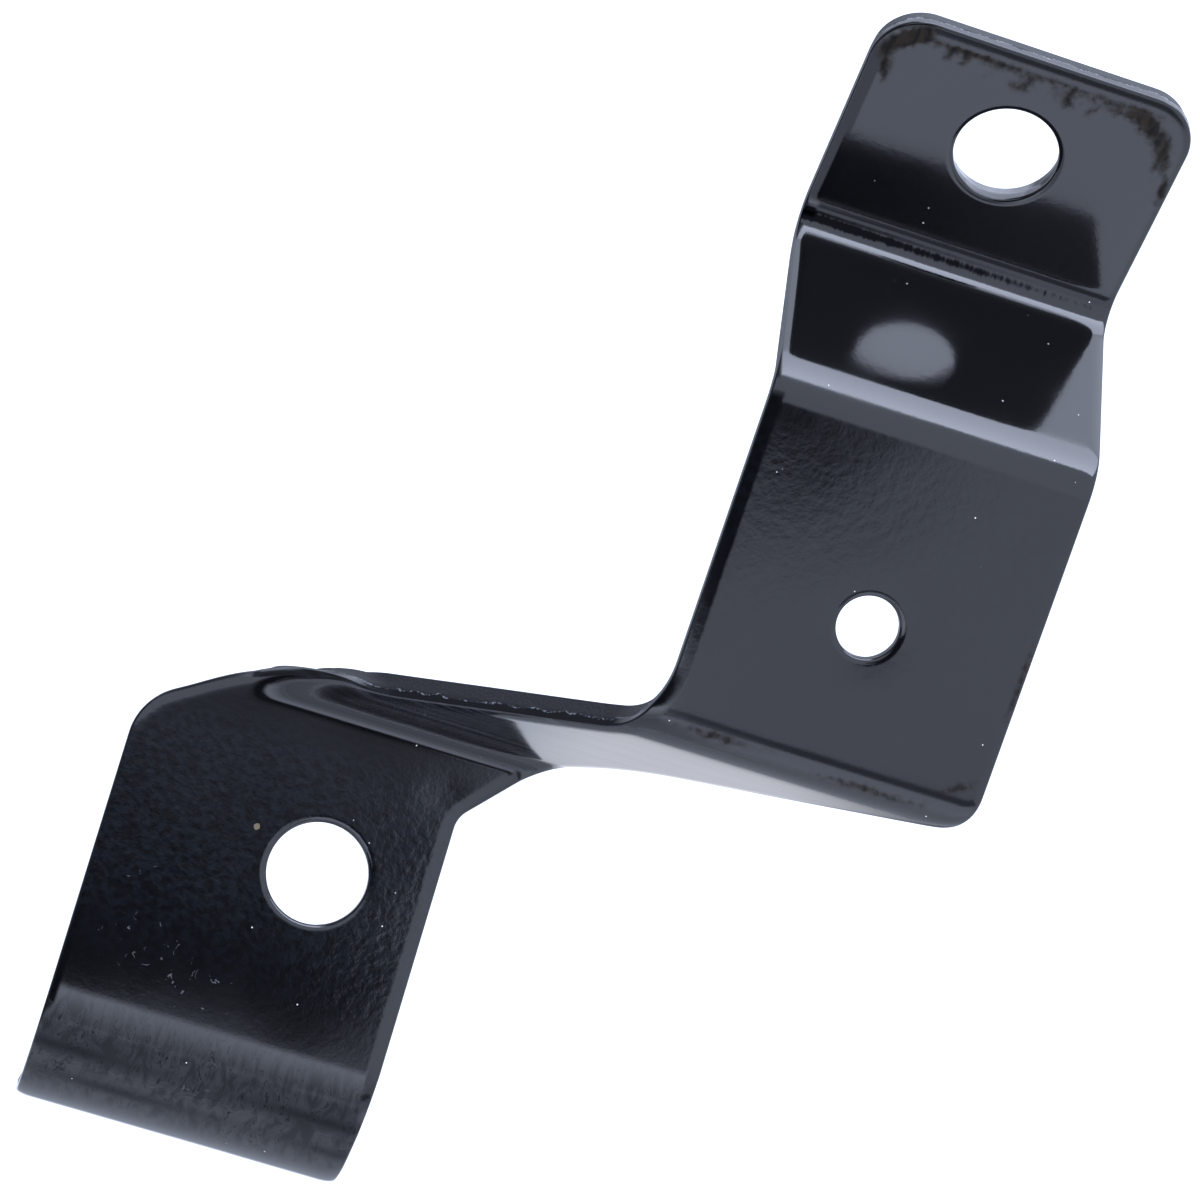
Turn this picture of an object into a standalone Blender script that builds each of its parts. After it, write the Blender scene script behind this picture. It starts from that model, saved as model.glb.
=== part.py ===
"""Bumper mount bracket: one steel plate, blanked, pierced and folded five times.

The plate is modelled as it is made. Its flat blank is drawn as a 2D curve with
the bolt holes in it, given its thickness and its rolled edges, scored across at
every step of each fold, and then folded along its side profile.

Frame: X runs across the strip, Z up it and -Y towards the viewer. The origin is
on the back face of the middle panel, on the strip's centre line.
"""
import bpy
import bmesh
from math import cos, sin, tan, radians, pi, atan2, hypot, ceil
from mathutils import Vector

MM = 0.001

# sheet
SHEET = 4.0 * MM              # plate thickness
EDGE_ROUND = 0.6 * MM         # rolled radius on every cut edge
STRIP = 47.4 * MM             # width of the top tab, the slope and the middle panel

# side profile: lengths between the sharp corners of the front face
TAB_LENGTH = 36.4 * MM
SLOPE_LENGTH = 34.0 * MM
ARM_LENGTH = 53.7 * MM
WEB_LENGTH = 30.0 * MM
FOOT_LENGTH = 67.7 * MM       # to the sharp corner of the lip's fold
LIP_LENGTH = 28.0 * MM        # from that corner to the lip's free end

# lean of each panel from hanging straight down, positive when it comes forward
TAB_LEAN = radians(-28.0)
SLOPE_LEAN = radians(57.0)
ARM_LEAN = radians(0.0)
WEB_LEAN = radians(-60.0)
FOOT_LEAN = radians(16.0)
LIP_LEAN = radians(-74.0)

# fold radii on the front face
CREASE_RADIUS = 5.0 * MM      # hollow fold, tab to slope
BROW_RADIUS = 8.0 * MM        # slope to middle panel
KNEE_RADIUS = 7.0 * MM        # middle panel to web
HEEL_RADIUS = 3.5 * MM        # hollow fold, web to foot
LIP_RADIUS = 18.0 * MM        # wide roll at the bottom
FOLD_STEP = radians(6.0)      # one score line for each such step of a fold
SHORTEST_FLAT = 0.2 * MM      # left between two folds that meet

# bolt holes
TAB_HOLE = 14.8 * MM
TAB_HOLE_UP = 20.4 * MM       # above the corner of the crease
ARM_HOLE = 9.0 * MM
ARM_HOLE_DOWN = 30.3 * MM     # below the corner of the brow
FOOT_HOLE = 14.8 * MM
FOOT_HOLE_DOWN = 24.3 * MM    # below the corner of the heel
FOOT_HOLE_X = -60.6 * MM
HOLE_STEPS = 48

# blank outline
TAB_CORNER = 7.5 * MM
FOOT_LEFT = -92.6 * MM        # left edge of the foot
FOOT_RIGHT = -43.4 * MM       # right edge of the foot
LIP_TAPER = 0.4 * MM          # the right edge draws in over the lip
THROAT_DROP = 1.8 * MM        # web's upper edge leaves the arm this far into the knee
THROAT_ROUND = 14.0 * MM
SHOULDER_DROP = 4.5 * MM      # web's upper edge meets the foot this far past the heel
SHOULDER_ROUND = 9.0 * MM
ELBOW_DROP = 3.6 * MM         # arm's lower right corner
ELBOW_ROUND = 6.5 * MM
BELLY_X = -22.5 * MM          # turn in the web's lower edge
BELLY_UP = 7.0 * MM           # above the start of the heel
BELLY_ROUND = 30.0 * MM
NECK_DROP = 8.0 * MM          # web's lower edge meets the foot this far past the heel
NECK_ROUND = 4.0 * MM
LIP_CORNER = 5.0 * MM
SHARPEST = 0.01 * MM          # a smaller corner radius is left sharp
STRAIGHTEST = radians(179.0)  # a wider corner is left as it is
MOST_ROUND = 0.48             # share of a side that one arc may take
ARC_STEP = radians(9.0)

# the origin lies this far above the small hole
ORIGIN_UP = 14.0 * MM

# points closer than this are welded, and smooth shading breaks at this angle
WELD = 0.002 * MM
SHARP_EDGE = radians(28.0)

NAME = "bracket"
PAINT = (0.0090, 0.0098, 0.0129)
GLOSS_ROUGHNESS = 0.18


def along(lean):
    """Unit step down a panel, as (forward, up)."""
    return Vector((sin(lean), -cos(lean)))


def outward(lean):
    """Front normal of a panel, as (forward, up)."""
    return Vector((cos(lean), sin(lean)))


def side_profile():
    """Walks the folded strip from the tab's top edge to the lip's end.

    Returns the stations (s, point on the middle of the sheet, front normal),
    the s at which each fold starts and ends, and the sharp front corners.
    """
    leans = [TAB_LEAN, SLOPE_LEAN, ARM_LEAN, WEB_LEAN, FOOT_LEAN, LIP_LEAN]
    lengths = [TAB_LENGTH, SLOPE_LENGTH, ARM_LENGTH, WEB_LENGTH, FOOT_LENGTH, LIP_LENGTH]
    radii = [CREASE_RADIUS, BROW_RADIUS, KNEE_RADIUS, HEEL_RADIUS, LIP_RADIUS]
    turns = [b - a for a, b in zip(leans, leans[1:])]
    setbacks = [abs(r * tan(t / 2)) for r, t in zip(radii, turns)]
    point, s = Vector((0.0, 0.0)), 0.0
    stations = [(0.0, point - outward(leans[0]) * SHEET / 2, outward(leans[0]))]
    folds, corners = [], []
    for i, lean in enumerate(leans):
        before = setbacks[i - 1] if i else 0.0
        after = setbacks[i] if i < len(setbacks) else 0.0
        flat = max(lengths[i] - before - after, SHORTEST_FLAT)
        point, s = point + along(lean) * flat, s + flat
        stations.append((s, point - outward(lean) * SHEET / 2, outward(lean)))
        if i == len(turns):
            break
        corners.append(point + along(lean) * after)
        turn, radius = turns[i], radii[i]
        side = 1.0 if turn > 0 else -1.0          # +1 for a hollow fold
        centre = point + outward(lean) * radius * side
        middle = radius + side * SHEET / 2
        steps = max(2, ceil(abs(turn) / FOLD_STEP))
        start = s
        for k in range(1, steps + 1):
            normal = outward(lean + turn * k / steps)
            s = start + middle * abs(turn) * k / steps
            stations.append((s, centre - normal * middle * side, normal))
        folds.append((start, s))
        point = centre - outward(leans[i + 1]) * radius * side
    return stations, folds, corners


def rounded(corners):
    """Polygon from (x, s, radius) corners, each replaced with its arc."""
    points, count = [], len(corners)
    for i, (x, s, radius) in enumerate(corners):
        here = Vector((x, s))
        back = Vector(corners[i - 1][:2]) - here
        ahead = Vector(corners[(i + 1) % count][:2]) - here
        opening = back.angle(ahead)
        reach = radius / tan(opening / 2)
        limit = MOST_ROUND * min(back.length, ahead.length)
        if reach > limit:
            radius, reach = radius * limit / reach, limit
        if radius < SHARPEST or opening > STRAIGHTEST:
            points.append(here)
            continue
        centre = here + (back.normalized() + ahead.normalized()).normalized() * hypot(radius, reach)
        first = here + back.normalized() * reach - centre
        last = here + ahead.normalized() * reach - centre
        a0 = atan2(first.y, first.x)
        sweep = (atan2(last.y, last.x) - a0 + pi) % (2 * pi) - pi
        steps = max(3, ceil(abs(sweep) / ARC_STEP))
        angles = [a0 + sweep * k / steps for k in range(steps + 1)]
        points += [centre + Vector((cos(a), sin(a))) * radius for a in angles]
    return points


def circle(x, s, diameter):
    """Polygon for a bolt hole."""
    angles = [2 * pi * k / HOLE_STEPS for k in range(HOLE_STEPS)]
    return [Vector((x, s)) + Vector((cos(a), sin(a))) * diameter / 2 for a in angles]


def blank_plate(outline, holes):
    """Flat plate: the blank's 2D curve, filled and given its thickness and rolled edges."""
    curve = bpy.data.curves.new("blank", "CURVE")
    curve.dimensions = "2D"
    curve.fill_mode = "BOTH"
    curve.extrude = SHEET / 2 - EDGE_ROUND
    curve.bevel_depth = EDGE_ROUND
    curve.bevel_resolution = 1
    curve.offset = -EDGE_ROUND
    for loop in [outline] + holes:
        spline = curve.splines.new("POLY")
        spline.points.add(len(loop) - 1)
        for slot, p in zip(spline.points, loop):
            slot.co = (p.x, -p.y, 0.0, 1.0)
        spline.use_cyclic_u = True
    flat = bpy.data.objects.new("blank", curve)
    bpy.context.scene.collection.objects.link(flat)
    bpy.context.view_layer.update()
    mesh = bpy.data.meshes.new_from_object(flat.evaluated_get(bpy.context.evaluated_depsgraph_get()))
    bpy.data.objects.remove(flat)
    bpy.data.curves.remove(curve)
    return mesh


def fold(mesh, stations):
    """Scores the plate across at every station and folds it along the side profile."""
    bm = bmesh.new()
    bm.from_mesh(mesh)
    bmesh.ops.remove_doubles(bm, verts=bm.verts, dist=WELD)
    for s, _, _ in stations[1:-1]:
        geometry = bm.verts[:] + bm.edges[:] + bm.faces[:]
        bmesh.ops.bisect_plane(bm, geom=geometry, dist=WELD, plane_co=(0, -s, 0), plane_no=(0, 1, 0))
    for vert in bm.verts:
        x, s, rise = vert.co.x, -vert.co.y, vert.co.z
        k = 0
        while k < len(stations) - 2 and s > stations[k + 1][0]:
            k += 1
        (s0, middle0, normal0), (s1, middle1, normal1) = stations[k], stations[k + 1]
        before = middle0 + normal0 * rise
        after = middle1 + normal1 * rise
        place = before.lerp(after, (s - s0) / (s1 - s0))
        vert.co = (x, -place.x, place.y)
    bm.normal_update()
    bmesh.ops.recalc_face_normals(bm, faces=bm.faces)
    if bm.calc_volume(signed=True) < 0:
        bmesh.ops.reverse_faces(bm, faces=bm.faces)
    bm.to_mesh(mesh)
    bm.free()


def painted():
    paint = bpy.data.materials.new("black_paint")
    paint.use_nodes = True
    shader = paint.node_tree.nodes["Principled BSDF"]
    shader.inputs["Base Color"].default_value = (*PAINT, 1.0)
    shader.inputs["Roughness"].default_value = GLOSS_ROUGHNESS
    paint.diffuse_color = (*PAINT, 1.0)
    return paint


def main():
    for old in list(bpy.data.objects):
        bpy.data.objects.remove(old)

    stations, folds, corners = side_profile()
    _, brow, knee, heel, lip = folds
    half, end = STRIP / 2, stations[-1][0]

    # hole centres on the blank: a sharp corner lies one setback past its flat's end
    crease_setback = CREASE_RADIUS * tan(abs(SLOPE_LEAN - TAB_LEAN) / 2)
    brow_setback = BROW_RADIUS * tan(abs(ARM_LEAN - SLOPE_LEAN) / 2)
    heel_setback = HEEL_RADIUS * tan(abs(FOOT_LEAN - WEB_LEAN) / 2)
    tab_hole_s = folds[0][0] + crease_setback - TAB_HOLE_UP
    arm_hole_s = brow[1] + ARM_HOLE_DOWN - brow_setback
    foot_hole_s = heel[1] + FOOT_HOLE_DOWN - heel_setback

    outline = rounded([
        (-half, 0.0, TAB_CORNER),
        (half, 0.0, TAB_CORNER),
        (half, knee[0] + ELBOW_DROP, ELBOW_ROUND),
        (BELLY_X, heel[0] - BELLY_UP, BELLY_ROUND),
        (FOOT_RIGHT, heel[1] + NECK_DROP, NECK_ROUND),
        (FOOT_RIGHT, lip[0], 0.0),
        (FOOT_RIGHT - LIP_TAPER, (lip[0] + lip[1]) / 2, 0.0),
        (FOOT_RIGHT - LIP_TAPER, end, LIP_CORNER),
        (FOOT_LEFT, end, LIP_CORNER),
        (FOOT_LEFT, heel[1] + SHOULDER_DROP, SHOULDER_ROUND),
        (-half, knee[0] + THROAT_DROP, THROAT_ROUND),
    ])
    holes = [circle(0.0, tab_hole_s, TAB_HOLE),
             circle(0.0, arm_hole_s, ARM_HOLE),
             circle(FOOT_HOLE_X, foot_hole_s, FOOT_HOLE)]

    # fold with the origin on the middle panel's back face, above its hole
    normal = outward(ARM_LEAN)
    hole_front = corners[1] + along(ARM_LEAN) * ARM_HOLE_DOWN
    origin = hole_front - normal * SHEET - along(ARM_LEAN) * ORIGIN_UP
    stations = [(s, p - origin, n) for s, p, n in stations]

    mesh = blank_plate(outline, holes)
    fold(mesh, stations)
    mesh.name = NAME
    mesh.materials.clear()
    mesh.materials.append(painted())
    for face in mesh.polygons:
        face.use_smooth = True
    mesh.set_sharp_from_angle(angle=SHARP_EDGE)

    collection = bpy.data.collections.new("bumper_mount_bracket")
    bpy.context.scene.collection.children.link(collection)
    bracket = bpy.data.objects.new(NAME, mesh)
    collection.objects.link(bracket)


main()
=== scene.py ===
"""Bumper mount bracket: one folded steel plate in glossy black enamel.

The plate is drawn flat, as its blank, and then folded. A point of the blank is
(x, s, rise): x across the strip, s along it from the tab's top edge, measured
on the middle of the sheet, and rise towards the front face.
"""

from functools import partial
from math import atan2, ceil, cos, hypot, pi, radians, sin, tan

import bpy
import numpy as np
from mathutils import Euler, Matrix, Vector
from mathutils.geometry import delaunay_2d_cdt


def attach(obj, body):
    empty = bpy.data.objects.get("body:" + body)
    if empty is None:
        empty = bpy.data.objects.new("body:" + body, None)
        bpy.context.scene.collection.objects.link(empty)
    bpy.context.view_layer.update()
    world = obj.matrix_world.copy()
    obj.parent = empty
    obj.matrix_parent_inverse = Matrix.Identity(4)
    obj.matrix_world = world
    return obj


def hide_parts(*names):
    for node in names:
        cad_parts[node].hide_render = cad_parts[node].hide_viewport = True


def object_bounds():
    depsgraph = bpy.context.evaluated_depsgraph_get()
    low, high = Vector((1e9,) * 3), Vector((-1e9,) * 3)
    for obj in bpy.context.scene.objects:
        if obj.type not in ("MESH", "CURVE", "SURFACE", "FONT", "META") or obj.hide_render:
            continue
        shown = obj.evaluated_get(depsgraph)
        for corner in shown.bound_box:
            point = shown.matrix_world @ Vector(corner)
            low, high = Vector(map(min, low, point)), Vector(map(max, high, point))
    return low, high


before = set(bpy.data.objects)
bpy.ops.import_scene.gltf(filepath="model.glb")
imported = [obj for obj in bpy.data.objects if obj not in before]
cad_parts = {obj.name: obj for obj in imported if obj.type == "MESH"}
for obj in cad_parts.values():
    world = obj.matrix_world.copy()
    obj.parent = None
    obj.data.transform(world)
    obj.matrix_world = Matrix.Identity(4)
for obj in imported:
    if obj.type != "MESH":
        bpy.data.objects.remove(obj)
solid_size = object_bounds()

MM = 0.001
BLANK_UNIT = 100.0            # millimetres of the blank in one unit of its own coordinates

# the same sheet, panels and folds as the solid
SHEET = 4.0
STRIP = 47.4
LENGTHS = dict(tab=36.4, slope=34.0, arm=53.7, web=30.0, foot=67.7, lip=28.0)
LEANS = dict(tab=-28.0, slope=57.0, arm=0.0, web=-60.0, foot=16.0, lip=-74.0)
RADII = dict(crease=5.0, brow=8.0, knee=7.0, heel=3.5, roll=18.0)
TAB_HOLE, TAB_HOLE_UP = 14.8, 20.4
ARM_HOLE, ARM_HOLE_DOWN = 9.0, 30.3
FOOT_HOLE, FOOT_HOLE_DOWN, FOOT_HOLE_X = 14.8, 24.3, -60.6
TAB_CORNER = 7.5
FOOT_LEFT, FOOT_RIGHT = -92.6, -43.4
LIP_TAPER = 0.4
THROAT_DROP, THROAT_ROUND = 1.8, 14.0
SHOULDER_DROP, SHOULDER_ROUND = 4.5, 9.0
ELBOW_DROP, ELBOW_ROUND = 3.6, 6.5
BELLY_X, BELLY_UP, BELLY_ROUND = -22.5, 7.0, 30.0
NECK_DROP, NECK_ROUND = 8.0, 4.0
LIP_CORNER = 5.0
ARM_HOLE_LOW = 14.0           # the arm's hole lies this far below the origin

# how finely the skin is drawn
COURSE_STEP = 0.05            # along the side profile
RIM_STEP = 0.5                # along a cut edge
ROW_STEP, ROW_TURN = 1.3, radians(2.5)
COLUMN_STEP = 1.2
ARC_STEP = radians(3)         # along a corner's arc
HOLE_FINER = 1.6              # a hole's rim is drawn this much finer
CLEAR = 0.3                   # the grid keeps this far from the cut edges
NUDGE = 0.01                  # step for slopes and normals

# a pressed fold fades into its panels: a tight part, and a share of its turn that spreads wider
FOLD_SOFTNESS = 0.35
TAILS = (0.06, 0.16, 0.14, 0.10, 0.10)
TAIL_REACH = 2.8

# the blanked edge: rolled over on the front, burnished by the die, then torn to the back face
ROLL_WIDE, ROLL_DEEP, ROLL_POWER = 2.4, 0.38, 2.6
HOLE_ROLL_WIDE, HOLE_ROLL_DEEP = 1.2, 0.3
RIM_CORNER = 0.35
BACK_CORNER = 0.22
TEAR_RISE, TEAR_INSET = 0.3, 0.45
ROLL_RINGS, TURN_RINGS, BACK_RINGS = 12, 7, 5
WALL_RING = 14                # the rings of a rim from here on are its wall

# the heel's fold bends up where it runs out through the web's upper edge: within CURL_WIDE of
# the edge it starts up to CURL_SHIFT sooner, and the edge bulges out by BULGE there
CURL_WIDE, CURL_SHIFT = 5.0, 7.0
CURL_START, CURL_BLEND = -46.0, 8.0
CURL_SAMPLES = 25
BULGE, BULGE_X, BULGE_REACH = 0.6, -76.0, 9.0

# the sheet is a little uneven: (height, waves per mm across, along, phase) of low waves and
# (height, x, s, half width, half length) of single marks: a dent by the foot's neck, the two steps the
# press left across the roll, and the shallow dimple at the arm's hole
WAVES = ((0.012, 0.021, 0.013, 0.4), (0.008, -0.034, 0.027, 2.0), (0.004, 0.062, 0.048, 4.1))
DENTS = ((-0.05, -46.0, 160.0, 3.0, 3.0), (0.02, -66.0, 209.6, 60.0, 0.8),
         (0.02, -66.0, 213.8, 60.0, 0.8), (-0.2, 0.5, 100.5, 5.5, 5.5))

# marks on the front, as (x, s, half length, half width, turn in degrees, strength): oily stains,
# worn places with scratches, and a thin film that takes some gloss
STAINS = (
    (-19.5, 3.2, 4.5, 1.3, -42, 1.1), (-21.0, 8.5, 2.8, 1.0, 78, 0.8), (-11.0, 2.6, 8.0, 0.7, 0, 0.65),
    (-13.5, 4.2, 0.4, 1.4, 12, 0.7), (-11.0, 4.0, 0.35, 1.2, 10, 0.6), (-7.0, 4.6, 0.5, 1.2, 15, 0.5),
    (-2.2, 4.6, 2.0, 1.0, -20, 0.9), (1.6, 5.0, 0.4, 1.6, 14, 0.55), (4.6, 4.6, 1.6, 1.4, 30, 0.75),
    (8.2, 5.2, 0.5, 1.5, 12, 0.6), (11.5, 3.6, 3.0, 0.8, 4, 0.6), (17.0, 4.6, 3.6, 1.5, 28, 1.0),
    (20.3, 8.6, 2.6, 1.2, 70, 0.95), (22.6, 13.6, 2.2, 0.7, 85, 0.9), (5.0, 2.4, 16.0, 0.6, 0, 0.5),
    (23.0, 100.0, 6.0, 0.6, 90, 0.6),
    (-15.0, 119.8, 6.0, 0.8, 0, 0.6), (8.0, 120.6, 9.0, 0.6, 0, 0.6), (20.0, 117.0, 3.0, 0.8, -30, 0.6))
WORN = ((-75.0, 195.0, 12.0, 4.5, 10, 0.9), (-86.0, 186.0, 4.0, 8.0, 0, 0.5),
        (-66.0, 211.0, 22.0, 5.0, 0, 0.5), (4.0, 86.0, 12.0, 3.0, 0, 0.25), (-50.0, 198.0, 4.0, 3.0, 0, 0.6))
FILM = ((-10.0, 70.0, 14.0, 3.0, 0, 0.6), (10.0, 108.0, 16.0, 10.0, 0, 0.5),
        (-68.0, 207.0, 24.0, 6.0, 0, 0.7), (2.0, 10.0, 18.0, 8.0, 0, 0.3))
# the one round chip on the foot, and how ragged its rim is
CHIP_X, CHIP_S, CHIP_WIDE, CHIP_RAGGED = -71.0, 171.9, 0.75, 0.8
# the combed band of painted shade along the crease, wrinkles on the roll, rolling lines on the web,
# and the dull bands of painted shade at the press's steps: places along s and reaches
CREASE_SHADE_S, CREASE_SHADE_WIDE = 36.3, 1.1
WRINKLE_UP, WRINKLE_REACH = 3.0, 8.0
ROLLED_REACH = 10.0
SHADED_STEPS_S, STEP_SHADE_REACH = (209.4, 214.2), 1.0
# how leathery the enamel lies, along s, and the depth of its orange peel
LEATHER_S = (0.0, 70.0, 80.0, 110.0, 120.0, 153.0, 162.0, 182.0, 199.0)
LEATHER = (0.25, 0.25, 0.6, 0.4, 0.05, 0.05, 1.0, 1.0, 0.25)
PEEL_DEEP = 0.026
TEAR_RAGGED = 1.6             # how far the torn part reaches up and down


# side profile

def folds_and_flats():
    """Start, end and turn of each fold along s, and the length of the blank.

    A fold's length is its turn times the radius of the middle of the sheet; a
    flat is the panel's length less the setbacks radius * tan(turn / 2).
    """
    leans = np.radians(list(LEANS.values()))
    turns = np.diff(leans)
    radii = np.array(list(RADII.values()))
    setbacks = np.abs(radii * np.tan(turns / 2))
    flats = np.array(list(LENGTHS.values()))
    flats[:-1] -= setbacks
    flats[1:] -= setbacks
    bends = np.abs(turns) * (radii + np.sign(turns) * SHEET / 2)
    starts = np.cumsum(flats[:-1]) + np.concatenate([[0.0], np.cumsum(bends)[:-1]])
    return starts, starts + bends, turns, setbacks, flats.sum() + bends.sum()


STARTS, ENDS, TURNS, SETBACKS, BLANK_END = folds_and_flats()
CREASE, BROW, KNEE, HEEL, ROLL = range(5)
TAB_HOLE_S = STARTS[CREASE] + SETBACKS[CREASE] - TAB_HOLE_UP
ARM_HOLE_S = ENDS[BROW] + ARM_HOLE_DOWN - SETBACKS[BROW]
FOOT_HOLE_S = ENDS[HEEL] + FOOT_HOLE_DOWN - SETBACKS[HEEL]


def softened(curve, width):
    """The curve averaged under the bell exp(-(distance / width)^2)."""
    reach = np.arange(-4 * width, 4 * width + COURSE_STEP, COURSE_STEP)
    bell = np.exp(-(reach / width) ** 2)
    return np.convolve(curve, bell / bell.sum(), mode="same")


# the web's upper edge on the blank, from the arm's corner to the foot's
WEB_EDGE_S = STARTS[KNEE] + THROAT_DROP
WEB_EDGE_SLOPE = (ENDS[HEEL] + SHOULDER_DROP - WEB_EDGE_S) / (FOOT_LEFT + STRIP / 2)


def side_course():
    """Middle of the sheet seen from the side: (s, lean, forward, up) as arrays.

    The curvature is turn / length inside each fold, softened at its ends with a
    bell; the lean is its sum along s, and the line is the sum of the lean's
    direction. It is placed by the arm's hole.
    """
    s = np.arange(0.0, BLANK_END + COURSE_STEP, COURSE_STEP)
    tight, wide = np.zeros_like(s), np.zeros_like(s)
    for start, end, turn, tail in zip(STARTS, ENDS, TURNS, TAILS):
        inside = np.clip((s + COURSE_STEP / 2 - start) / COURSE_STEP, 0, 1)
        inside *= np.clip((end - s + COURSE_STEP / 2) / COURSE_STEP, 0, 1)
        bent = inside * turn / (inside.sum() * COURSE_STEP)
        tight, wide = tight + bent * (1 - tail), wide + bent * tail
    curve = softened(tight, FOLD_SOFTNESS) + softened(wide, TAIL_REACH)
    lean = radians(LEANS["tab"]) + np.cumsum(curve) * COURSE_STEP
    forward = np.cumsum(np.sin(lean)) * COURSE_STEP
    up = -np.cumsum(np.cos(lean)) * COURSE_STEP
    forward += SHEET / 2 - np.interp(ARM_HOLE_S, s, forward)
    up += -ARM_HOLE_LOW - np.interp(ARM_HOLE_S, s, up)
    return s, lean, forward, up


COURSE = side_course()


def web_edge(x):
    """Where the web's upper edge lies on the blank: a straight cut, which the fold bulges."""
    straight = WEB_EDGE_S + (x + STRIP / 2) * WEB_EDGE_SLOPE
    return straight - BULGE * np.exp(-np.abs((x - BULGE_X) / BULGE_REACH) ** 3)


def curl(x, s):
    """How far the web's upper edge is bent back where the heel's fold reaches it.

    Near the edge the sheet has the lean of the course a little further on. The
    height is the mean of that extra slope, from the point to where the strip
    ends, times the way there.
    """
    square = hypot(1, WEB_EDGE_SLOPE)
    way = np.clip(CURL_WIDE * square + web_edge(x) - s, 0, None)[..., None]
    at = s[..., None] + way * np.linspace(0.0, 1.0, CURL_SAMPLES)
    close = np.clip(1 - (at - web_edge(x)[..., None]) / square / CURL_WIDE, 0, 1)
    sooner = CURL_SHIFT * close ** 2 * np.clip((CURL_START - x) / CURL_BLEND, 0, 1)[..., None]
    extra = np.interp(at + sooner, COURSE[0], COURSE[1]) - np.interp(at, COURSE[0], COURSE[1])
    return np.tan(extra).mean(axis=-1) * way[..., 0]


def relief(x, s):
    """How far the sheet stands off its even course: the sum of low waves and marks."""
    wave = sum(high * np.cos(2 * pi * (x * ax + s * along) + phase) for high, ax, along, phase in WAVES)
    mark = sum(high * np.exp(-((x - ax) / wide) ** 2 - ((s - along) / long) ** 2)
               for high, ax, along, wide, long in DENTS)
    return wave + mark - curl(x, s)


def folded(x, s, rise):
    """Places blank points in the folded plate, in millimetres.

    A point lies on the course's normal at its relief, and its rise is measured
    square to the sheet, which the relief tilts.
    """
    at, lean, forward, up = COURSE
    off = relief(x, s)
    across = (relief(x + NUDGE, s) - off) / NUDGE
    down = (relief(x, s + NUDGE) - off) / NUDGE
    tilt = np.interp(s, at, lean) + np.arctan(down)
    lift = off + np.cos(across) * rise
    ahead = np.interp(s, at, forward) + np.cos(tilt) * lift
    high = np.interp(s, at, up) + np.sin(tilt) * lift
    return np.stack([x - across * rise, -ahead, high], axis=-1)


def face_normal(x, s, side):
    """Normal of a face of the folded sheet, from two short steps on it."""
    here = folded(x, s, side * SHEET / 2)
    across = folded(x + NUDGE, s, side * SHEET / 2) - here
    down = folded(x, s + NUDGE, side * SHEET / 2) - here
    normal = side * np.cross(down, across)
    return normal / np.linalg.norm(normal, axis=-1, keepdims=True)


# blank

def rounded(corners):
    """Closed outline from (x, s, radius) corners, each replaced with its arc."""
    points, count = [], len(corners)
    for i, (x, s, radius) in enumerate(corners):
        here = Vector((x, s))
        back = Vector(corners[i - 1][:2]) - here
        ahead = Vector(corners[(i + 1) % count][:2]) - here
        opening = back.angle(ahead)
        if radius == 0.0:
            points.append(here)
            continue
        reach = radius / tan(opening / 2)
        limit = 0.48 * min(back.length, ahead.length)      # two arcs on one side never meet
        if reach > limit:
            radius, reach = radius * limit / reach, limit
        centre = here + (back.normalized() + ahead.normalized()).normalized() * hypot(radius, reach)
        first = here + back.normalized() * reach - centre
        last = here + ahead.normalized() * reach - centre
        a0 = atan2(first.y, first.x)
        sweep = (atan2(last.y, last.x) - a0 + pi) % (2 * pi) - pi
        step_shade_bands = max(3, ceil(abs(sweep) / ARC_STEP))
        angles = [a0 + sweep * k / step_shade_bands for k in range(step_shade_bands + 1)]
        points += [centre + Vector((cos(a), sin(a))) * radius for a in angles]
    return np.array([(p.x, p.y) for p in points])


def evened(loop, step):
    """The closed loop drawn again with points at an even distance."""
    closed = np.vstack([loop, loop[:1]])
    run = np.concatenate([[0.0], np.cumsum(np.linalg.norm(np.diff(closed, axis=0), axis=1))])
    at = np.linspace(0.0, run[-1], int(run[-1] / step), endpoint=False)
    return np.stack([np.interp(at, run, closed[:, k]) for k in (0, 1)], axis=1)


def outline():
    """The blank's outline, from the tab's left corner round by the right side."""
    half = STRIP / 2
    return rounded([
        (-half, 0.0, TAB_CORNER),
        (half, 0.0, TAB_CORNER),
        (half, STARTS[KNEE] + ELBOW_DROP, ELBOW_ROUND),
        (BELLY_X, STARTS[HEEL] - BELLY_UP, BELLY_ROUND),
        (FOOT_RIGHT, ENDS[HEEL] + NECK_DROP, NECK_ROUND),
        (FOOT_RIGHT, STARTS[ROLL], 0.0),
        (FOOT_RIGHT - LIP_TAPER, (STARTS[ROLL] + ENDS[ROLL]) / 2, 0.0),
        (FOOT_RIGHT - LIP_TAPER, BLANK_END, LIP_CORNER),
        (FOOT_LEFT, BLANK_END, LIP_CORNER),
        (FOOT_LEFT, ENDS[HEEL] + SHOULDER_DROP, SHOULDER_ROUND),
        (-half, STARTS[KNEE] + THROAT_DROP, THROAT_ROUND),
    ])


def hole(x, s, diameter):
    """Bolt hole, drawn the other way round, so that the steel is on the same side."""
    turn = np.linspace(0.0, -2 * pi, int(pi * diameter / RIM_STEP * HOLE_FINER), endpoint=False)
    return np.stack([x + np.cos(turn) * diameter / 2, s + np.sin(turn) * diameter / 2], axis=1)


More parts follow.
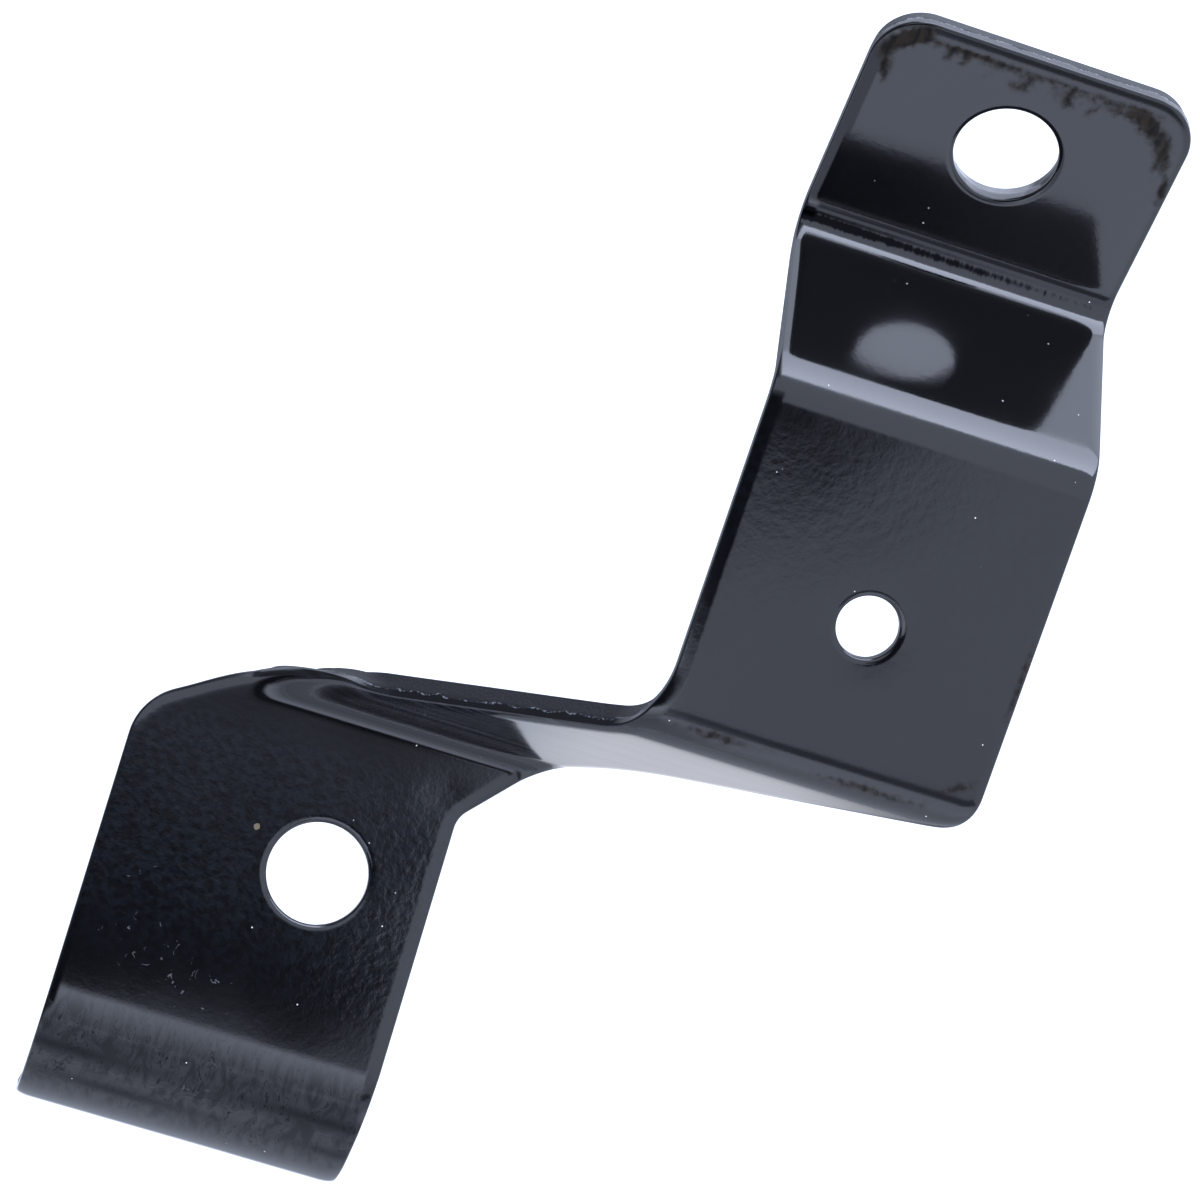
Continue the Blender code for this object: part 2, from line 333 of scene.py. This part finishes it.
def rim_profile(wide, deep):
    """Section of a cut edge as (inset, rise), from the front face round to the back.

    The roll-over falls by deep * (1 - inset / wide) ^ power; a quadratic curve
    turns it into the wall, which the die burnished, the torn part leans inwards
    below it, and a tighter curve turns it into the back face.
    """
    half = SHEET / 2
    inset = np.linspace(wide, RIM_CORNER, ROLL_RINGS)
    fall = half - deep * (1 - inset / wide) ** ROLL_POWER
    slope = deep * ROLL_POWER / wide * (1 - RIM_CORNER / wide) ** (ROLL_POWER - 1)
    t = np.linspace(0.0, 1.0, TURN_RINGS)[1:]
    brink = fall[-1] - slope * RIM_CORNER
    turned = RIM_CORNER * (1 - t) ** 2
    turning = fall[-1] * (1 - t) ** 2 + brink * 2 * t * (1 - t) + (brink - RIM_CORNER) * t ** 2
    wall = np.concatenate([np.linspace(brink - RIM_CORNER, TEAR_RISE, 4)[1:],
                           np.linspace(TEAR_RISE, BACK_CORNER - half, 8)[1:]])
    torn = TEAR_INSET * np.clip((TEAR_RISE - wall) / (TEAR_RISE - BACK_CORNER + half), 0, 1)
    t = np.linspace(0.0, 1.0, BACK_RINGS)[1:]
    return (np.concatenate([inset, turned, torn, TEAR_INSET + BACK_CORNER * t ** 2]),
            np.concatenate([fall, turning, wall, -half + BACK_CORNER * (1 - t) ** 2]))


def inward(loop):
    """Unit direction into the steel at each point of a loop."""
    along = np.roll(loop, -1, axis=0) - np.roll(loop, 1, axis=0)
    along /= np.linalg.norm(along, axis=1, keepdims=True)
    return np.stack([-along[:, 1], along[:, 0]], axis=1)


def rim(loop, wide, deep):
    """A cut edge's profile carried along its loop, as rings of blank points and folded normals."""
    inset, rise = rim_profile(wide, deep)
    flat = loop[None] + inset[:, None, None] * inward(loop)[None]
    blank = np.dstack([flat, np.broadcast_to(rise[:, None], flat.shape[:2])])
    place = folded(blank[..., 0], blank[..., 1], blank[..., 2])
    onward = np.roll(place, -1, axis=1) - np.roll(place, 1, axis=1)
    normal = np.cross(onward, np.gradient(place, axis=0))
    normal /= np.linalg.norm(normal, axis=2, keepdims=True)
    normal[0] = face_normal(blank[0, :, 0], blank[0, :, 1], 1)
    normal[-1] = face_normal(blank[-1, :, 0], blank[-1, :, 1], -1)
    return blank, normal


def rows():
    """Values of s for the rows of the skin: close in the folds, wide on the flats."""
    s, lean = COURSE[0], COURSE[1]
    pace = np.abs(np.gradient(lean, s)) / ROW_TURN + 1 / ROW_STEP
    count = np.cumsum(pace) * COURSE_STEP
    return np.interp(np.arange(1.0, count[-1]), count, s)


def inside(points, loop):
    """Which points lie inside a closed loop: an odd number of edges to their right."""
    x0, s0 = loop[:, 0], loop[:, 1]
    x1, s1 = np.roll(x0, -1), np.roll(s0, -1)
    x, s = points[:, 0, None], points[:, 1, None]
    crosses = (s0 > s) != (s1 > s)
    with np.errstate(divide="ignore", invalid="ignore"):
        edge = x0 + (s - s0) * (x1 - x0) / (s1 - s0)
    return (np.sum(crosses & (x < edge), axis=1) % 2) == 1


def gap(points, loops):
    """Distance from each point to the nearest loop point."""
    near = np.full(len(points), np.inf)
    for loop in loops:
        for part in np.array_split(np.arange(len(points)), max(1, len(points) // 2000)):
            apart = np.linalg.norm(points[part, None] - loop[None], axis=2)
            near[part] = np.minimum(near[part], apart.min(axis=1))
    return near


def face_grid(loops):
    """Triangles of a face between its loops, over a grid of rows and columns."""
    columns = np.arange(FOOT_LEFT, STRIP / 2, COLUMN_STEP)
    grid = np.stack(np.meshgrid(columns, rows()), axis=-1).reshape(-1, 2)
    kept = inside(grid, loops[0])
    for loop in loops[1:]:
        kept &= ~inside(grid, loop)
    grid = grid[kept]
    grid = grid[gap(grid, loops) > CLEAR]
    points = np.vstack(loops + [grid])
    edges, first = [], 0
    for loop in loops:
        index = np.arange(first, first + len(loop))
        edges.append(np.stack([index, np.roll(index, -1)], axis=1))
        first += len(loop)
    made = delaunay_2d_cdt([Vector(p) for p in points], np.vstack(edges).tolist(), [], 1, 1e-5)
    origin = np.array([given[0] for given in made[3]])
    triangles = origin[np.array(made[2])]
    middle = points[triangles].mean(axis=1)
    kept = inside(middle, loops[0])
    for loop in loops[1:]:
        kept &= ~inside(middle, loop)
    return grid, triangles[kept]


def cut_edges():
    """The plate's outline and its three holes, each with its roll-over's width and depth."""
    edge = evened(outline(), RIM_STEP)
    straight = WEB_EDGE_S + (edge[:, 0] + STRIP / 2) * WEB_EDGE_SLOPE
    drawn = np.abs(edge[:, 1] - straight) < RIM_CORNER
    edge[:, 1] += np.where(drawn, web_edge(edge[:, 0]) - straight, 0.0)
    holes = [hole(0.0, TAB_HOLE_S, TAB_HOLE), hole(0.0, ARM_HOLE_S, ARM_HOLE),
             hole(FOOT_HOLE_X, FOOT_HOLE_S, FOOT_HOLE)]
    return [(edge, ROLL_WIDE, ROLL_DEEP)] + [(loop, HOLE_ROLL_WIDE, HOLE_ROLL_DEEP) for loop in holes]


def blots(blank, marks):
    """Sum of soft turned ellipses (x, s, half length, half width, turn, strength) on the front."""
    total = np.zeros(len(blank))
    for x, s, long, wide, turn, strength in marks:
        c, d = cos(radians(turn)), sin(radians(turn))
        u = ((blank[:, 0] - x) * c + (blank[:, 1] - s) * d) / long
        v = ((blank[:, 1] - s) * c - (blank[:, 0] - x) * d) / wide
        total += strength * np.exp(-u ** 2 - v ** 2)
    return total * (blank[:, 2] > 0)


def skin_values(blank):
    """What the materials read at each point: shares, and the rise in the sheet.

    A band across the strip is exp(-((s - middle) / reach)^power).
    """
    x, s, front = blank[:, 0], blank[:, 1], blank[:, 2] > 0
    # painted shade: darker bands across the roll at the press's steps
    step_shade_bands = sum(np.exp(-((s - at) / STEP_SHADE_REACH) ** 2) * (0.65 + 0.35 * np.cos(x / 6 + at)) for at in SHADED_STEPS_S)
    return dict(
        rise=blank[:, 2], stain=blots(blank, STAINS), worn=blots(blank, WORN), film=blots(blank, FILM),
        leather=np.interp(s, LEATHER_S, LEATHER),
        wrinkled=np.exp(-((s - (STARTS[ROLL] + ENDS[ROLL]) / 2 + WRINKLE_UP) / WRINKLE_REACH) ** 4),
        # painted shade: a combed dark band along the crease
        crease_shade=np.exp(-((s - CREASE_SHADE_S) / CREASE_SHADE_WIDE) ** 2) * (0.85 - 0.9 * x / STRIP) * front,
        rolled=np.exp(-((s - (ENDS[KNEE] + STARTS[HEEL]) / 2) / ROLLED_REACH) ** 4),
        step_shade=step_shade_bands * front)


def enamel_skin():
    """The whole plate as one closed skin, folded."""
    points, normals, faces, walls, fronts, backs, first = [], [], [], [], [], [], 0
    for kind, (edge, wide, deep) in enumerate(cut_edges()):
        place, lie = rim(edge, wide, deep)
        depth, around = place.shape[:2]
        index = first + np.arange(depth * around).reshape(depth, around)
        ahead = np.roll(index, -1, axis=1)
        quads = np.stack([index[:-1], ahead[:-1], ahead[1:], index[1:]], axis=-1).reshape(-1, 4)
        faces += quads.tolist()
        walls.append((np.repeat(np.arange(depth - 1), around) >= WALL_RING) * min(kind + 1, 2))
        points.append(place.reshape(-1, 3))
        normals.append(lie.reshape(-1, 3))
        fronts.append((index[0], place[0, :, :2]))
        backs.append((index[-1], place[-1, :, :2]))
        first += depth * around
    for loops, side in ((fronts, 1), (backs, -1)):
        grid, triangles = face_grid([loop for _, loop in loops])
        names = np.concatenate([index for index, _ in loops] + [first + np.arange(len(grid))])
        triangles = names[triangles]
        if side > 0:
            triangles = triangles[:, ::-1]
        faces += triangles.tolist()
        walls.append(np.zeros(len(triangles)))
        points.append(np.column_stack([grid, np.full(len(grid), side * SHEET / 2)]))
        normals.append(face_normal(grid[:, 0], grid[:, 1], side))
        first += len(grid)
    blank = np.vstack(points)
    mesh = bpy.data.meshes.new("enamelled_plate")
    mesh.from_pydata((folded(*blank.T) * MM).tolist(), [], faces)
    mesh.polygons.foreach_set("use_smooth", np.ones(len(mesh.polygons), bool))
    mesh.polygons.foreach_set("material_index", np.concatenate(walls).astype(np.int32))
    corner = np.empty(len(mesh.loops), np.int32)
    mesh.loops.foreach_get("vertex_index", corner)
    layer = mesh.uv_layers.new(name="blank")
    layer.uv.foreach_set("vector", (blank[corner, :2] / BLANK_UNIT).ravel())
    for name, values in skin_values(blank).items():
        mesh.attributes.new(name, "FLOAT", "POINT").data.foreach_set("value", values.astype(np.float32))
    mesh.validate()
    mesh.normals_split_custom_set_from_vertices(np.vstack(normals).tolist())
    plate = bpy.data.objects.new("enamelled_plate", mesh)
    bpy.context.scene.collection.objects.link(plate)
    return plate


# materials

def hexed(code):
    """sRGB hex to linear RGBA."""
    parts = [int(code[i:i + 2], 16) / 255 for i in (0, 2, 4)]
    return (*[p / 12.92 if p <= 0.04045 else ((p + 0.055) / 1.055) ** 2.4 for p in parts], 1.0)


def node(tree, kind, sockets=(), out=0, **settings):
    """Adds a node with its settings, sets or links its inputs, and gives one of its outputs."""
    made = tree.nodes.new("ShaderNode" + kind)
    for key, value in settings.items():
        setattr(made, key, value)
    for name, value in dict(sockets).items():
        if isinstance(value, bpy.types.NodeSocket):
            tree.links.new(value, made.inputs[name])
        else:
            made.inputs[name].default_value = value
    return made.outputs[out]


def material(name):
    """A new material, its node tree and its shader."""
    made = bpy.data.materials.new(name)
    made.use_nodes = True
    return made, made.node_tree, made.node_tree.nodes["Principled BSDF"]


SMOOTH = dict(interpolation_type="SMOOTHSTEP")

# noises in the enamel: size in millimetres and detail
GRAINS = dict(stain=(1.1, 4.0), curls=(2.2, 2.0), patch=(1.3, 2.0), chip=(0.6, 2.0), mottle=(1.1, 3.0),
              cloud=(14.0, 3.0), peel=(1.2, 3.0), fine=(0.35, 1.0), broad=(7.0, 1.0))
DUST_CELL = 3.03
# noises drawn out on the blank: size in millimetres across and along, turn, and the noise's settings
DRAWN = dict(
    grime=(0.769, 2.5, 0.3, {"Detail": 4.0}),
    lines=(40.0, 1.111, 0.0, {"Detail": 5.0, "Roughness": 0.65}),
    # painted shade: the streaks of the dark band along the crease
    crease_shade_comb=(0.526, 3.846, 0.0, {"Detail": 3.0, "Roughness": 0.6}),
    smear=(1.818, 5.0, 0.0, {"Detail": 5.0, "Distortion": 1.2}),
    wrinkles=(1.667, 11.111, 0.0, {"Detail": 3.0, "Distortion": 0.6}),
    rolling=(33.333, 1.429, 0.0, {"Detail": 3.0, "Distortion": 0.6}))


# Gloss black enamel, sprayed on steel and baked. It is nearly black and mirrors the studio
# sharply; orange peel breaks the mirror up on the foot and arm. A dull film swallows the gloss
# under the oily brown stains and in smears on the roll. Painted shade: the same loss of gloss
# darkens a combed band along the crease and two bands at the press's steps.
def black_enamel():
    paint, tree, shader = material("black_enamel")
    add = partial(node, tree)
    place = add("TexCoord", out="Object")
    flat = add("UVMap", uv_map="blank")
    here = {name: add("Attribute", out="Fac", attribute_name=name)
            for name in ("stain", "worn", "film", "leather", "wrinkled", "crease_shade", "rolled", "step_shade")}
    grain = {name: add("TexNoise", {"Vector": place, "Scale": 1 / (size * MM), "Detail": detail})
             for name, (size, detail) in GRAINS.items()}
    drawn = {}
    for name, (across, along, turn, settings) in DRAWN.items():
        laid = add("Mapping", {"Vector": flat, "Rotation": (0.0, 0.0, turn),
                               "Scale": (BLANK_UNIT / across, BLANK_UNIT / along, 1.0)})
        drawn[name] = add("TexNoise", {"Vector": laid, "Scale": 1.0, **settings})

    stain = add("Math", {0: grain["stain"], 1: 0.9, 2: here["stain"]}, operation="MULTIPLY_ADD")
    stain = add("MapRange", {0: stain, 1: 0.58, 2: 1.25}, **SMOOTH)
    grime = add("MapRange", {0: drawn["grime"], 1: 0.35, 2: 0.62}, **SMOOTH)

    # scratches: fine curling lines, where a noise crosses its middle, in some patches
    line = add("Math", {0: grain["curls"], 1: 0.5}, operation="SUBTRACT")
    line = add("Math", {0: line}, operation="ABSOLUTE")
    line = add("MapRange", {0: line, 1: 0.010, 2: 0.003}, **SMOOTH)
    patch = add("Math", {0: here["worn"], 1: 0.25, 2: grain["patch"]}, operation="MULTIPLY_ADD")
    patch = add("MapRange", {0: patch, 1: 0.76, 2: 0.80}, **SMOOTH)
    scratch = add("Math", {0: line, 1: patch}, operation="MULTIPLY")

    # dust: a grain in some cells
    cells = add("TexVoronoi", {"Vector": place, "Scale": 1 / (DUST_CELL * MM)}, out="Distance")
    few = add("SeparateColor", {0: cells.node.outputs["Color"]})
    few = add("MapRange", {0: few, 1: 0.60, 2: 0.62}, **SMOOTH)
    dust = add("MapRange", {0: cells, 1: 0.045, 2: 0.02}, **SMOOTH)
    dust = add("Math", {0: dust, 1: few}, operation="MULTIPLY")

    # one round chip with a ragged rim, on a brownish ground
    chip = add("VectorMath", {0: flat, 1: (CHIP_X / BLANK_UNIT, CHIP_S / BLANK_UNIT, 0.0)},
               out="Value", operation="DISTANCE")
    chip = add("Math", {0: grain["chip"], 1: CHIP_RAGGED / BLANK_UNIT, 2: chip}, operation="MULTIPLY_ADD")
    chip = add("MapRange", {0: chip, 1: (CHIP_WIDE + 0.15) / BLANK_UNIT,
                            2: (CHIP_WIDE + 0.05) / BLANK_UNIT}, **SMOOTH)

    mottle = add("MapRange", {0: grain["mottle"], 1: 0.40, 2: 0.62}, **SMOOTH)
    leathery = add("MapRange", {0: here["leather"], 1: 0.2, 2: 1.0}, **SMOOTH)
    mottle = add("Math", {0: mottle, 1: leathery}, operation="MULTIPLY")
    lines = add("MapRange", {0: drawn["lines"], 1: 0.42, 2: 0.68}, **SMOOTH)
    lines = add("Math", {0: lines, 1: here["rolled"]}, operation="MULTIPLY")
    brown = add("Mix", {0: grime, 6: hexed("0F0E0D"), 7: hexed("241E18")}, out=2, data_type="RGBA")
    colour = hexed("08090B")
    for share, over in ((mottle, hexed("0F1216")), (stain, brown), (lines, hexed("2A2C30")),
                        (chip, hexed("6A604F")), (scratch, hexed("3A3C40")), (dust, hexed("E8E4DC"))):
        colour = add("Mix", {0: share, 6: colour, 7: over}, out=2, data_type="RGBA")
    tree.links.new(colour, shader.inputs["Base Color"])

    rough = add("MapRange", {0: grain["cloud"], 1: 0.3, 2: 0.7, 3: 0.085, 4: 0.12}, **SMOOTH)
    rough = add("Math", {0: here["film"], 1: 0.06, 2: rough}, operation="MULTIPLY_ADD")
    greasy = add("Math", {0: stain, 1: 0.42}, operation="MULTIPLY")
    rough = add("Math", {0: rough, 1: greasy}, operation="MAXIMUM")
    marks = add("Math", {0: scratch, 1: dust}, operation="ADD")
    rough = add("Math", {0: marks, 1: 0.3, 2: rough}, operation="MULTIPLY_ADD")
    tree.links.new(rough, shader.inputs["Roughness"])

    # the dull film: metal of the enamel's own black mirrors almost nothing; under the stains and smears it is
    # oily film, in the crease and at the press's steps it is painted shade
    crease_shade_comb = add("Math", {0: drawn["crease_shade_comb"], 1: 1.1, 2: here["crease_shade"]}, operation="MULTIPLY_ADD")
    crease_shade_comb = add("MapRange", {0: crease_shade_comb, 1: 0.95, 2: 1.40}, **SMOOTH)
    crack = add("Math", {0: drawn["smear"], 1: 0.47}, operation="SUBTRACT")
    crack = add("Math", {0: crack}, operation="ABSOLUTE")
    crack = add("MapRange", {0: crack, 1: 0.012, 2: 0.004, 4: 0.8}, **SMOOTH)
    smear = add("MapRange", {0: drawn["smear"], 1: 0.46, 2: 0.62, 4: 0.45}, **SMOOTH)
    smear = add("Math", {0: smear, 1: crack}, operation="MAXIMUM")
    dull_and_painted_light = add("Math", {0: smear, 1: here["wrinkled"]}, operation="MULTIPLY")
    # the stains' oily film, and painted shade in bands at the press's steps and along the crease
    for share, weight in ((here["step_shade"], 0.6), (stain, 0.85), (crease_shade_comb, 0.95)):
        film = add("Math", {0: share, 1: weight}, operation="MULTIPLY")
        dull_and_painted_light = add("Math", {0: dull_and_painted_light, 1: film}, operation="MAXIMUM")
    tree.links.new(dull_and_painted_light, shader.inputs["Metallic"])

    # orange peel, then finer and broader unevenness, the wrinkles down the roll, the lines that
    # the sheet's rolling left on the web, and the dust and scratches; depths in millimetres
    deep = add("Math", {0: here["leather"], 1: PEEL_DEEP * MM}, operation="MULTIPLY")
    lie = add("Bump", {"Height": grain["peel"], "Strength": 1.0, "Distance": deep})
    wrinkles = add("Math", {0: drawn["wrinkles"], 1: here["wrinkled"]}, operation="MULTIPLY")
    rolling = add("Math", {0: drawn["rolling"], 1: here["rolled"]}, operation="MULTIPLY")
    proud = add("Math", {0: dust, 1: scratch}, operation="SUBTRACT")
    for height, depth in ((grain["fine"], 0.0025), (grain["broad"], 0.008), (wrinkles, 0.030),
                          (rolling, 0.004), (proud, 0.02)):
        lie = add("Bump", {"Height": height, "Strength": 1.0, "Distance": depth * MM, "Normal": lie})
    tree.links.new(lie, shader.inputs["Normal"])
    return paint


# The same enamel over the blanked edge of the plate: glossy where the die burnished the steel,
# near the front, and dull and lumpy over the torn part, with bright bluish flecks of painted highlight on the
# line between.
def sheared_edge():
    paint, tree, shader = material("sheared_edge_enamel")
    add = partial(node, tree)
    place = add("TexCoord", out="Object")
    rise = add("Attribute", out="Fac", attribute_name="rise")
    ragged = add("TexNoise", {"Vector": place, "Scale": 1 / (2.5 * MM), "Detail": 3.0})
    level = add("Math", {0: ragged, 1: -TEAR_RAGGED, 2: rise}, operation="MULTIPLY_ADD")
    torn = add("MapRange", {0: level, 1: TEAR_RISE - 0.4, 2: TEAR_RISE - 0.8}, **SMOOTH)
    whole = add("Math", {0: 1.0, 1: torn}, operation="SUBTRACT")
    seam = add("Math", {0: torn, 1: whole}, operation="MULTIPLY")
    # painted highlight: bright bluish-grey flecks along the line between burnished and torn
    highlight_flecks = add("TexNoise", {"Vector": place, "Scale": 1 / (0.5 * MM), "Detail": 3.0, "Roughness": 0.7})
    highlight_flecks = add("MapRange", {0: highlight_flecks, 1: 0.52, 2: 0.6, 4: 4.0}, **SMOOTH)
    painted_highlight = add("Math", {0: seam, 1: highlight_flecks}, operation="MULTIPLY")
    colour = add("Mix", {0: painted_highlight, 6: hexed("0C0D10"), 7: hexed("6C7078")}, out=2, data_type="RGBA")
    tree.links.new(colour, shader.inputs["Base Color"])
    tree.links.new(add("MapRange", {0: torn, 3: 0.18, 4: 0.6}, **SMOOTH), shader.inputs["Roughness"])
    dull_and_painted_light = add("MapRange", {0: torn, 3: 0.1, 4: 0.45}, **SMOOTH)
    dull_and_painted_light = add("Math", {0: painted_highlight, 1: -0.4, 2: dull_and_painted_light}, operation="MULTIPLY_ADD")
    tree.links.new(dull_and_painted_light, shader.inputs["Metallic"])
    lumps = add("TexNoise", {"Vector": place, "Scale": 1 / (0.45 * MM), "Detail": 4.0, "Roughness": 0.6})
    deep = add("MapRange", {0: torn, 3: 0.03 * MM, 4: 0.10 * MM}, **SMOOTH)
    tree.links.new(add("Bump", {"Height": lumps, "Strength": 1.0, "Distance": deep}), shader.inputs["Normal"])
    return paint


# The same enamel in the pierced bolt holes: thin, glossy and slightly uneven over the punched steel.
def pierced_wall():
    paint, tree, shader = material("pierced_wall_enamel")
    add = partial(node, tree)
    shader.inputs["Base Color"].default_value = hexed("0A0B0D")
    place = add("TexCoord", out="Object")
    thin = add("TexNoise", {"Vector": place, "Scale": 1 / (0.8 * MM), "Detail": 3.0})
    rough = add("MapRange", {0: thin, 1: 0.35, 2: 0.65, 3: 0.10, 4: 0.22}, **SMOOTH)
    tree.links.new(rough, shader.inputs["Roughness"])
    scored = add("TexNoise", {"Vector": place, "Scale": 1 / (0.6 * MM), "Detail": 3.0})
    lie = add("Bump", {"Height": scored, "Strength": 1.0, "Distance": 0.02 * MM})
    tree.links.new(lie, shader.inputs["Normal"])
    return paint


# studio

STUDIO_LIGHT, WHITE_LIGHT = "DEE7FF", "EFF3FF"
SURROUND = 2.1
FLOOR_DROP = 60.0             # the bracket is held this far above the floor
FLOOR_REACH = 20.0            # metres

# studio cards: a corner, the two sides, strength at the near and far end of the second side,
# share of the sides that fades
CARDS = dict(
    overhead_softbox=((-230, -480, 600), (830, 0, 0), (0, 660, 0), 13.0, 6.0, 0.06),
    overhead_fill=((-500, 90, 602), (1100, 0, 0), (0, 790, 0), 3.6, 3.2, 0.08),
    overhead_left_dark=((-1300, -600, 598), (1070, 0, 0), (0, 900, 0), 0.5, 0.5, 0.08),
    low_reflector=((-150, -180, -50), (160, 0, 0), (0, 0, -134), 4.4, 0.9, 0.20),
    camera_dark=((-900, -700, 264), (970, 0, 0), (0, 0, -160), 1.05, 0.0, 0.04),
    stand_dark=((-900, -699, -185), (960, 0, 0), (0, 0, 305), 0.0, 0.0, 0.05),
    tripod_dark=((-40, -698, -130), (200, 0, 0), (0, 0, 190), 0.0, 0.0, 0.32),
    table_edge_dark=((0, -580, -180), (330, 0, 0), (0, 350, 0), 0.5, 0.5, 0.22),
    left_dark=((-700, -700, -184), (0, 900, 0), (0, 0, 800), 0.3, 0.3, 0.04),
    left_floor_dark=((-700, -700, -180), (480, 0, 0), (0, 900, 0), 0.3, 0.3, 0.10),
    floor_glow=((-150, -300, -182), (400, 0, 0), (0, 270, 0), 2.6, 2.6, 0.30),
    roll_floor=((-150, -182, -180), (165, 0, 0), (0, 150, 0), 1.4, 1.5, 0.06),
    floor_shadow=((-170, -34, -181), (190, 0, 0), (0, 150, 0), 1.8, 0.6, 0.20),
    window_floor=((-30, 60, -180), (400, 0, 0), (0, 300, 0), 2.7, 2.7, 0.08),
    window_frame_dark=((28, 60, -179), (380, 0, 0), (0, 300, 0), 0.5, 0.5, 0.12),
    backdrop_dark=((-420, 600, -500), (620, 0, 0), (0, 0, 800), 0.5, 0.5, 0.10))
WHITE_CARD = "window_floor"


def card(name, corner, across, up):
    """A studio card that only reflections see: a rectangle from a corner and two sides."""
    corner, across, up = (np.array(v) * MM for v in (corner, across, up))
    mesh = bpy.data.meshes.new(name)
    mesh.from_pydata([corner, corner + across, corner + across + up, corner + up], [], [(0, 1, 2, 3)])
    layer = mesh.uv_layers.new(name="card")
    layer.uv.foreach_set("vector", np.array([0.0, 0, 1, 0, 1, 1, 0, 1]))
    made = bpy.data.objects.new(name, mesh)
    bpy.context.scene.collection.objects.link(made)
    made.visible_camera = False
    made.visible_diffuse = False
    made.visible_shadow = False
    made.visible_transmission = False
    made.visible_volume_scatter = False
    return made


# Cloth over a light, or black card: it gives off an even light that fades out at its edges.
def soft_card(name, near, far, edge, colour):
    finish, tree, shader = material(name)
    tree.nodes.remove(shader)
    add = partial(node, tree)
    flat = add("SeparateXYZ", {0: add("TexCoord", out="UV")}).node.outputs
    fades = []
    for side in (flat[0], flat[1]):
        away = add("Math", {0: side, 1: 0.5}, operation="SUBTRACT")
        away = add("Math", {0: away}, operation="ABSOLUTE")
        fades.append(add("MapRange", {0: away, 1: 0.5, 2: 0.5 - edge}, **SMOOTH))
    strength = add("MapRange", {0: flat[1], 3: near, 4: far})
    light = add("Emission", {"Color": hexed(colour), "Strength": strength})
    cover = add("Math", {0: fades[0], 1: fades[1]}, operation="MULTIPLY")
    mix = add("MixShader", {0: cover, 1: add("BsdfTransparent"), 2: light})
    tree.links.new(mix, tree.nodes["Material Output"].inputs["Surface"])
    return finish


def studio():
    """The even surround, the pale floor below the bracket and the cards it mirrors."""
    world = bpy.data.worlds.new("tent")
    world.use_nodes = True
    back = world.node_tree.nodes["Background"]
    back.inputs["Color"].default_value = hexed(STUDIO_LIGHT)
    back.inputs["Strength"].default_value = SURROUND
    bpy.context.scene.world = world

    low = solid_size[0].z - FLOOR_DROP * MM
    mesh = bpy.data.meshes.new("floor")
    turn = np.linspace(0.0, 2 * pi, 64, endpoint=False)
    rim_points = np.stack([np.cos(turn) * FLOOR_REACH, np.sin(turn) * FLOOR_REACH, 0 * turn + low], axis=1)
    mesh.from_pydata(rim_points.tolist(), [], [tuple(range(64))])
    floor = bpy.data.objects.new("floor", mesh)
    bpy.context.scene.collection.objects.link(floor)
    finish, _, shader = material("matt_white_board")
    shader.inputs["Base Color"].default_value = hexed("F2F2F0")
    shader.inputs["Roughness"].default_value = 0.9
    mesh.materials.append(finish)

    for name, (corner, across, up, near, far, edge) in CARDS.items():
        colour = WHITE_LIGHT if name == WHITE_CARD else STUDIO_LIGHT
        finish = soft_card(name + "_cloth", near, far, edge, colour)
        card(name, corner, across, up).data.materials.append(finish)


# the camera's place in millimetres, its turns about x, y and z in degrees, and its focal length
# in pixels of a picture 1200 wide
CAMERA_PLACE = (-103.969, -517.036, 73.151)
CAMERA_TURNS = (79.0723, -18.3501, -3.9733)
FOCAL_PIXELS, PICTURE_WIDE, SENSOR_WIDE = 3810.87, 1200, 36.0


def camera():
    """The camera at the photo's place, with the picture's middle on its axis."""
    lens = bpy.data.cameras.new("camera")
    lens.sensor_width = SENSOR_WIDE
    lens.lens = FOCAL_PIXELS / PICTURE_WIDE * SENSOR_WIDE
    lens.clip_start, lens.clip_end = 0.01, 50.0
    eye = bpy.data.objects.new("camera", lens)
    bpy.context.scene.collection.objects.link(eye)
    turned = Euler(np.radians(CAMERA_TURNS)).to_matrix().to_4x4()
    eye.matrix_world = Matrix.Translation(Vector(CAMERA_PLACE) * MM) @ turned
    bpy.context.scene.camera = eye


plate = enamel_skin()
for finish in (black_enamel(), sheared_edge(), pierced_wall()):
    plate.data.materials.append(finish)
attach(plate, "root")
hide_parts("bracket")

studio()
camera()
bpy.context.scene.view_settings.view_transform = "Standard"
